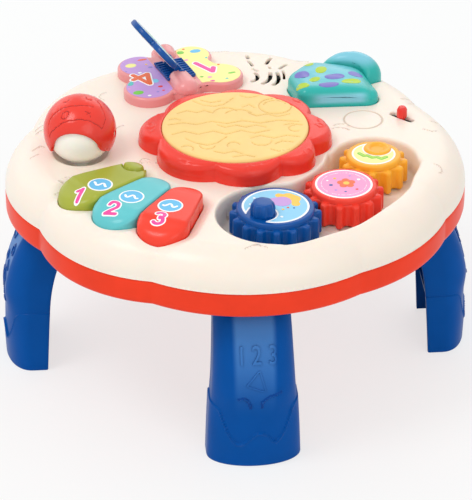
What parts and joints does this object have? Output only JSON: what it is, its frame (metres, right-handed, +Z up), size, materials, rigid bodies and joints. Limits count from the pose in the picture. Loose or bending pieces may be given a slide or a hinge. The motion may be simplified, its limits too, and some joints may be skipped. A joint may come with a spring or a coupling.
{
  "type": "musical activity table",
  "caption": "Round lobed activity table on channel legs, with piano keys, a drum pad, meshing gears, a butterfly flip page, a ball with a turning visor, press buttons and a slide switch.",
  "frame": {"origin": "on the floor, under the centre of the table top and between the legs", "axes": "+Z up; the legs stand on the X and Y axes; -Y is the side of the front leg, with the keys at its left and the gears at its right"},
  "size_m": [0.373, 0.373, 0.2313],
  "materials": {
    "cream_shell": "glossy ABS, warm cream white",
    "red_base": "glossy ABS, orange red",
    "blue_leg": "glossy polypropylene, royal blue",
    "coral_rim": "glossy ABS, coral red",
    "drum_cream": "satin ABS with a printed and embossed face",
    "olive_key": "glossy ABS, olive green",
    "teal_key": "glossy ABS, teal",
    "red_key": "glossy ABS, red",
    "label_blue": "printed film label",
    "label_pink": "printed film label",
    "label_yellow": "printed film label",
    "label_purple": "printed film label",
    "label_teal": "printed film label",
    "navy_gear": "glossy ABS, blue",
    "red_gear": "glossy ABS, red",
    "yellow_gear": "glossy ABS, warm yellow",
    "pink_plastic": "glossy ABS, dusty pink",
    "navy_plastic": "glossy ABS, navy",
    "steel": "zinc-plated steel",
    "ball_cream": "glossy ABS, cream",
    "visor_red": "glossy ABS, red",
    "teal_button": "glossy ABS, teal",
    "switch_red": "glossy ABS, red",
    "dark_plastic": "black ABS",
    "silicone": "translucent silicone rubber",
    "speaker_black": "speaker frame and paper cone",
    "circuit_green": "solder-masked glass-fibre board",
    "cell_wrap": "wrapped steel cells"
  },
  "bodies": {
    "table": {"top_cover": "cream_shell", "base_shell": "red_base", "leg_front": "blue_leg", "leg_right": "blue_leg", "leg_back": "blue_leg", "leg_left": "blue_leg", "drum_rim": "coral_rim", "drum_rubber_dome": "silicone", "key_1_rubber_dome": "silicone", "key_2_rubber_dome": "silicone", "key_3_rubber_dome": "silicone", "butterfly_plate": "pink_plastic", "wing_labels": "label_purple", "hinge_comb": "navy_plastic", "page_pin": "steel", "ball_dome": "ball_cream", "hill_rubber_dome": "silicone", "dome_rubber_dome": "silicone", "switch_body": "dark_plastic", "speaker": "speaker_black", "main_board": "circuit_green", "key_board": "circuit_green", "button_board": "circuit_green", "battery_box": "dark_plastic", "batteries": "cell_wrap", "battery_contacts": "steel", "battery_door": "red_base", "battery_door_screw": "steel", "case_screws": "steel", "rim_screws": "steel", "butterfly_screws": "steel", "ball_screw": "steel", "board_screws": "steel"},
    "drum": {"drum_pad": "drum_cream"},
    "key_1": {"key_1": "olive_key", "key_1_label": "label_blue"},
    "key_2": {"key_2": "teal_key", "key_2_label": "label_blue"},
    "key_3": {"key_3": "red_key", "key_3_label": "label_blue"},
    "blue_gear": {"gear_blue": "navy_gear", "gear_blue_label": "label_blue", "gear_blue_screw": "steel", "crank_knob": "navy_gear"},
    "red_gear": {"gear_red": "red_gear", "gear_red_label": "label_pink", "gear_red_screw": "steel"},
    "yellow_gear": {"gear_yellow": "yellow_gear", "gear_yellow_label": "label_yellow", "gear_yellow_screw": "steel"},
    "page": {"flip_page": "navy_plastic", "page_labels": "label_teal"},
    "visor": {"visor": "visor_red"},
    "hill": {"hill_button": "teal_button"},
    "dome": {"dome_button": "teal_button"},
    "switch": {"switch_knob": "switch_red"}
  },
  "joints": [
    {"name": "drum_press", "type": "slide", "parent": "table", "child": "drum", "axis": [0, 0, -1], "range_m": [0, 0.002], "stiffness_N_per_m": 900, "springref_m": -0.002, "deforming": ["drum_rubber_dome"]},
    {"name": "key_1_press", "type": "slide", "parent": "table", "child": "key_1", "axis": [0, 0, -1], "range_m": [0, 0.0025], "stiffness_N_per_m": 400, "springref_m": -0.0012, "deforming": ["key_1_rubber_dome"]},
    {"name": "key_2_press", "type": "slide", "parent": "table", "child": "key_2", "axis": [0, 0, -1], "range_m": [0, 0.0025], "stiffness_N_per_m": 400, "springref_m": -0.0012, "deforming": ["key_2_rubber_dome"]},
    {"name": "key_3_press", "type": "slide", "parent": "table", "child": "key_3", "axis": [0, 0, -1], "range_m": [0, 0.0025], "stiffness_N_per_m": 400, "springref_m": -0.0012, "deforming": ["key_3_rubber_dome"]},
    {"name": "red_gear_turn", "type": "hinge", "parent": "table", "child": "red_gear", "pos_m": [0.07646, -0.07778, 0.1785], "axis": [0, 0, 1], "continuous": true},
    {"name": "blue_gear_turn", "type": "hinge", "parent": "table", "child": "blue_gear", "pos_m": [0.0215, -0.107, 0.1785], "axis": [0, 0, 1], "continuous": true},
    {"name": "yellow_gear_turn", "type": "hinge", "parent": "table", "child": "yellow_gear", "pos_m": [0.10489, -0.03192, 0.1785], "axis": [0, 0, 1], "continuous": true},
    {"name": "page_turn", "type": "hinge", "parent": "table", "child": "page", "pos_m": [-0.0395, 0.113, 0.1915], "axis": [-0.309, 0.9511, 0], "range_deg": [-47, 123]},
    {"name": "visor_turn", "type": "hinge", "parent": "table", "child": "visor", "pos_m": [-0.121, -0.0037, 0.1985], "axis": [0.9558, -0.294, 0], "range_deg": [-25, 55]},
    {"name": "hill_press", "type": "slide", "parent": "table", "child": "hill", "axis": [0, 0, -1], "range_m": [0, 0.003], "stiffness_N_per_m": 500, "springref_m": -0.0016, "deforming": ["hill_rubber_dome"]},
    {"name": "dome_press", "type": "slide", "parent": "table", "child": "dome", "axis": [0, 0, -1], "range_m": [0, 0.003], "stiffness_N_per_m": 400, "springref_m": -0.0012, "deforming": ["dome_rubber_dome"]},
    {"name": "switch_slide", "type": "slide", "parent": "table", "child": "switch", "axis": [0.712, -0.7022, 0], "range_m": [-0.005, 0.005]}
  ],
  "couplings": [
    {"joint": "blue_gear_turn", "follows": "red_gear_turn", "ratio": -0.875},
    {"joint": "yellow_gear_turn", "follows": "red_gear_turn", "ratio": -1.1667}
  ]
}
